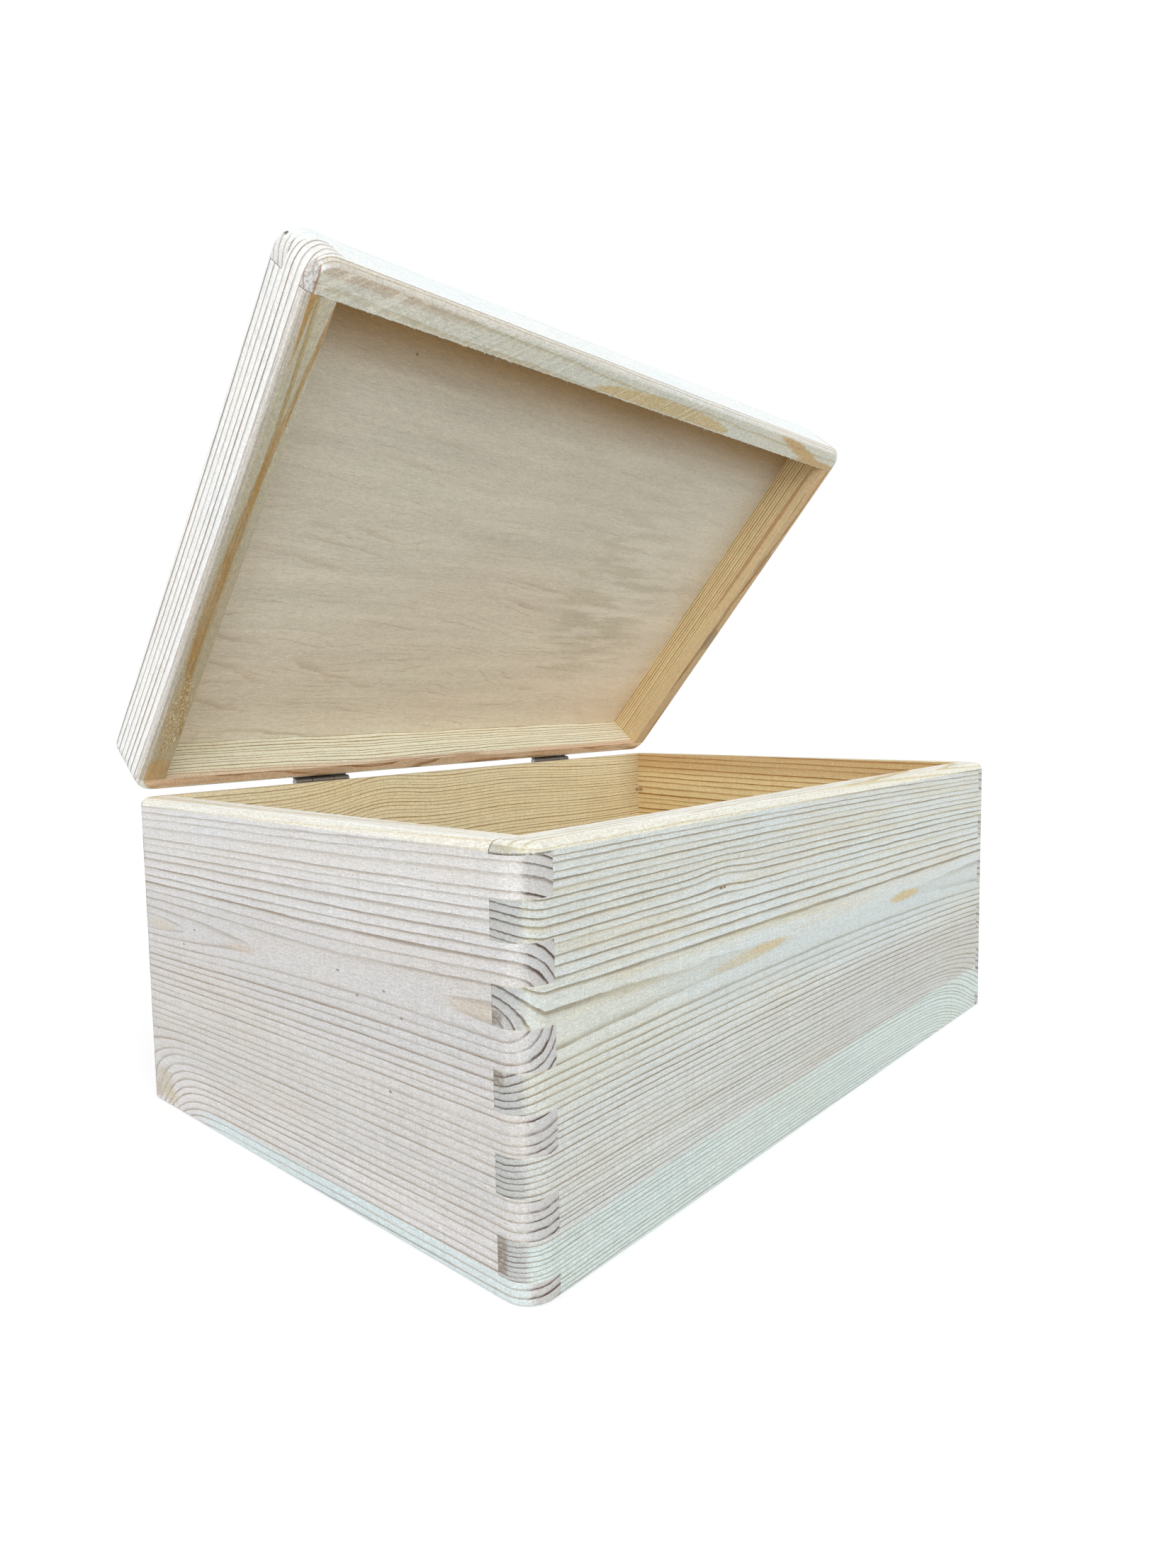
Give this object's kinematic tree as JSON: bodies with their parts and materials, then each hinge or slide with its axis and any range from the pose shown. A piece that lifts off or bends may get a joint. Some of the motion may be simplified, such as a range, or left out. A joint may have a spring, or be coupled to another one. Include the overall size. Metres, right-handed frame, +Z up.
{
  "type": "wooden toy box",
  "caption": "Bare pine storage box with finger-jointed corners, plywood bottom, and a shallow hinged lid that lifts up and back on two small steel hinges.",
  "frame": {"origin": "centre of the underside, where the box stands on a table", "axes": "+X along the long side to the right of someone facing the front, +Y from the front to the hinged back, +Z up"},
  "size_m": [0.3, 0.2083, 0.2686],
  "materials": {
    "box_pine": "bare sanded pine, no varnish",
    "lid_pine": "bare sanded pine, saw-cut lip",
    "plywood": "bare birch-faced plywood",
    "hinge_steel": "dull dark plated sheet steel",
    "pin_steel": "dull steel wire",
    "screw_steel": "zinc-plated steel"
  },
  "bodies": {
    "box": {"front_board": "box_pine", "back_board": "box_pine", "left_end_board": "box_pine", "right_end_board": "box_pine", "bottom_panel": "plywood", "hinge_left_body_leaf": "hinge_steel", "hinge_left_pin": "pin_steel", "hinge_left_body_screws": "screw_steel", "hinge_right_body_leaf": "hinge_steel", "hinge_right_pin": "pin_steel", "hinge_right_body_screws": "screw_steel"},
    "lid": {"lid_front_rail": "lid_pine", "lid_back_rail": "lid_pine", "lid_left_rail": "lid_pine", "lid_right_rail": "lid_pine", "lid_panel": "plywood", "hinge_left_lid_leaf": "hinge_steel", "hinge_left_lid_screws": "screw_steel", "hinge_right_lid_leaf": "hinge_steel", "hinge_right_lid_screws": "screw_steel"}
  },
  "joints": [
    {"name": "lid_hinge", "type": "hinge", "parent": "box", "child": "lid", "pos_m": [0, 0.09685, 0.10865], "axis": [-1, 0, 0], "range_deg": [-49.4, 130.6]}
  ]
}
